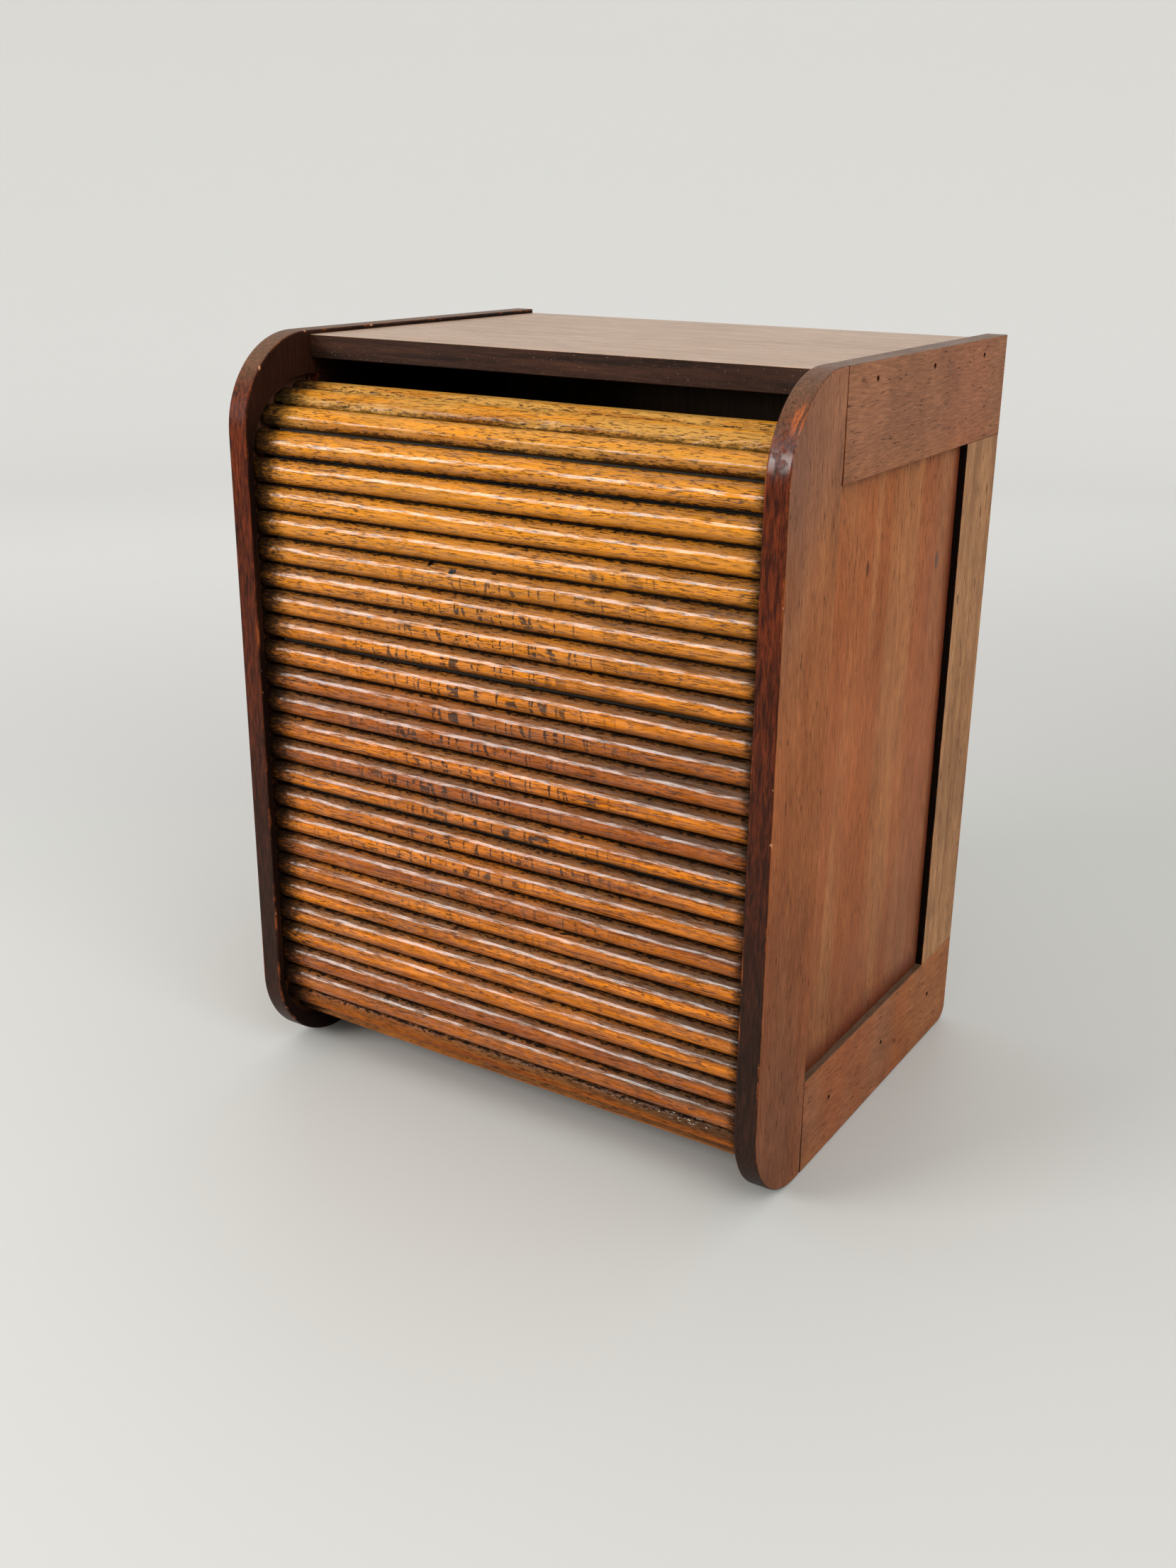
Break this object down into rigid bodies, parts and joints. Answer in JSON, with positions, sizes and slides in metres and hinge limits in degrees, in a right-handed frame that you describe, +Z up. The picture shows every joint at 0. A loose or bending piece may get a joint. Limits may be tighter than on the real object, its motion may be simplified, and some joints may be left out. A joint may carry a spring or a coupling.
{
  "type": "bread box",
  "caption": "Wooden countertop bread box with framed side panels and a roll front: a slatted tambour that is pulled down from a finger gap under the top.",
  "frame": {"origin": "middle of the footprint, on the surface the box stands on", "axes": "+X towards the box's right-hand side seen from its front, -Y towards the front, +Z up"},
  "size_m": [0.336, 0.275, 0.43],
  "materials": {
    "slat_wood": "amber varnish with grime in the notches, crackle and worn crowns",
    "case_wood": "dark red-brown varnish, worn along the edges",
    "panel_wood": "thin red-brown varnish over straight grain",
    "top_wood": "faded brown varnish with fine scratches",
    "inner_wood": "bare, darkened softwood",
    "canvas": "plain weave, glue-stained",
    "nail_steel": "dull and rusty"
  },
  "bodies": {
    "case": {"left_front_stile": "case_wood", "left_rear_stile": "case_wood", "left_top_rail": "case_wood", "left_bottom_rail": "case_wood", "left_panel": "panel_wood", "right_front_stile": "case_wood", "right_rear_stile": "case_wood", "right_top_rail": "case_wood", "right_bottom_rail": "case_wood", "right_panel": "panel_wood", "top_board": "top_wood", "floor_board": "inner_wood", "false_back": "inner_wood", "back_board": "inner_wood", "nails": "nail_steel"},
    "curtain": {"slat_05": "slat_wood", "slat_06": "slat_wood", "slat_07": "slat_wood", "slat_08": "slat_wood", "slat_09": "slat_wood", "slat_10": "slat_wood", "slat_11": "slat_wood", "slat_12": "slat_wood", "slat_13": "slat_wood", "slat_14": "slat_wood", "slat_15": "slat_wood", "slat_16": "slat_wood", "slat_17": "slat_wood", "slat_18": "slat_wood", "slat_19": "slat_wood", "slat_20": "slat_wood", "slat_21": "slat_wood", "front_canvas": "canvas", "canvas_05": "canvas"},
    "slat_01": {"slat_01": "slat_wood", "canvas_01": "canvas"},
    "slat_02": {"slat_02": "slat_wood", "canvas_02": "canvas"},
    "slat_03": {"slat_03": "slat_wood", "canvas_03": "canvas"},
    "slat_04": {"slat_04": "slat_wood", "canvas_04": "canvas"},
    "slat_22": {"slat_22": "slat_wood", "canvas_22": "canvas"},
    "slat_23": {"slat_23": "slat_wood", "canvas_23": "canvas"},
    "slat_24": {"slat_24": "slat_wood", "canvas_24": "canvas"},
    "slat_25": {"slat_25": "slat_wood", "canvas_25": "canvas"},
    "slat_26": {"slat_26": "slat_wood", "canvas_26": "canvas"},
    "slat_27": {"slat_27": "slat_wood", "canvas_27": "canvas"},
    "slat_28": {"slat_28": "slat_wood", "canvas_28": "canvas"},
    "slat_29": {"slat_29": "slat_wood", "canvas_29": "canvas"},
    "slat_30": {"slat_30": "slat_wood", "canvas_30": "canvas"}
  },
  "joints": [
    {"name": "curtain_slide", "type": "slide", "parent": "case", "child": "curtain", "axis": [0, 0, -1], "range_m": [0, 0.058]},
    {"name": "slat_01_turn", "type": "hinge", "parent": "case", "child": "slat_01", "pos_m": [0, -0.08526, 0.35829], "axis": [1, 0, 0], "range_deg": [0, 86.2]},
    {"name": "slat_02_turn", "type": "hinge", "parent": "case", "child": "slat_02", "pos_m": [0, -0.07579, 0.35213], "axis": [1, 0, 0], "range_deg": [0, 67.45]},
    {"name": "slat_03_turn", "type": "hinge", "parent": "case", "child": "slat_03", "pos_m": [0, -0.04899, 0.34443], "axis": [1, 0, 0], "range_deg": [0, 43.51]},
    {"name": "slat_04_turn", "type": "hinge", "parent": "case", "child": "slat_04", "pos_m": [0, 0.04529, 0.33586], "axis": [1, 0, 0], "range_deg": [0, 19.56]},
    {"name": "slat_22_turn", "type": "hinge", "parent": "case", "child": "slat_22", "pos_m": [0, 0.407, 0.08803], "axis": [1, 0, 0], "range_deg": [0, 6.27]},
    {"name": "slat_23_turn", "type": "hinge", "parent": "case", "child": "slat_23", "pos_m": [0, -0.01165, 0.07651], "axis": [1, 0, 0], "range_deg": [0, 29.3]},
    {"name": "slat_24_turn", "type": "hinge", "parent": "case", "child": "slat_24", "pos_m": [0, -0.06296, 0.0685], "axis": [1, 0, 0], "range_deg": [0, 53.25]},
    {"name": "slat_25_turn", "type": "hinge", "parent": "case", "child": "slat_25", "pos_m": [0, -0.08158, 0.0609], "axis": [1, 0, 0], "range_deg": [0, 77.2]},
    {"name": "slat_26_turn", "type": "hinge", "parent": "case", "child": "slat_26", "pos_m": [0, -0.084, 0.05875], "axis": [1, 0, 0], "range_deg": [0, 83.11]},
    {"name": "slat_27_turn", "type": "hinge", "parent": "case", "child": "slat_27", "pos_m": [0, -0.07662, 0.07323], "axis": [1, 0, 0], "range_deg": [0, 59.88]},
    {"name": "slat_28_turn", "type": "hinge", "parent": "case", "child": "slat_28", "pos_m": [0, -0.0688, 0.11024], "axis": [1, 0, 0], "range_deg": [0, 35.93]},
    {"name": "slat_29_turn", "type": "hinge", "parent": "case", "child": "slat_29", "pos_m": [0, -0.05903, 0.29628], "axis": [1, 0, 0], "range_deg": [0, 11.98]},
    {"name": "slat_30_slide", "type": "slide", "parent": "case", "child": "slat_30", "axis": [0, 1, 0], "range_m": [0, 0.05801]}
  ],
  "couplings": [
    {"joint": "slat_01_turn", "follows": "curtain_slide", "rad_per_m": 25.935},
    {"joint": "slat_02_turn", "follows": "curtain_slide", "rad_per_m": 20.295},
    {"joint": "slat_03_turn", "follows": "curtain_slide", "rad_per_m": 13.089},
    {"joint": "slat_04_turn", "follows": "curtain_slide", "rad_per_m": 5.8829},
    {"joint": "slat_22_turn", "follows": "curtain_slide", "rad_per_m": 1.8837},
    {"joint": "slat_23_turn", "follows": "curtain_slide", "rad_per_m": 8.8149},
    {"joint": "slat_24_turn", "follows": "curtain_slide", "rad_per_m": 16.021},
    {"joint": "slat_25_turn", "follows": "curtain_slide", "rad_per_m": 23.227},
    {"joint": "slat_26_turn", "follows": "curtain_slide", "rad_per_m": 25.007},
    {"joint": "slat_27_turn", "follows": "curtain_slide", "rad_per_m": 18.015},
    {"joint": "slat_28_turn", "follows": "curtain_slide", "rad_per_m": 10.809},
    {"joint": "slat_29_turn", "follows": "curtain_slide", "rad_per_m": 3.603},
    {"joint": "slat_30_slide", "follows": "curtain_slide", "ratio": 1}
  ]
}
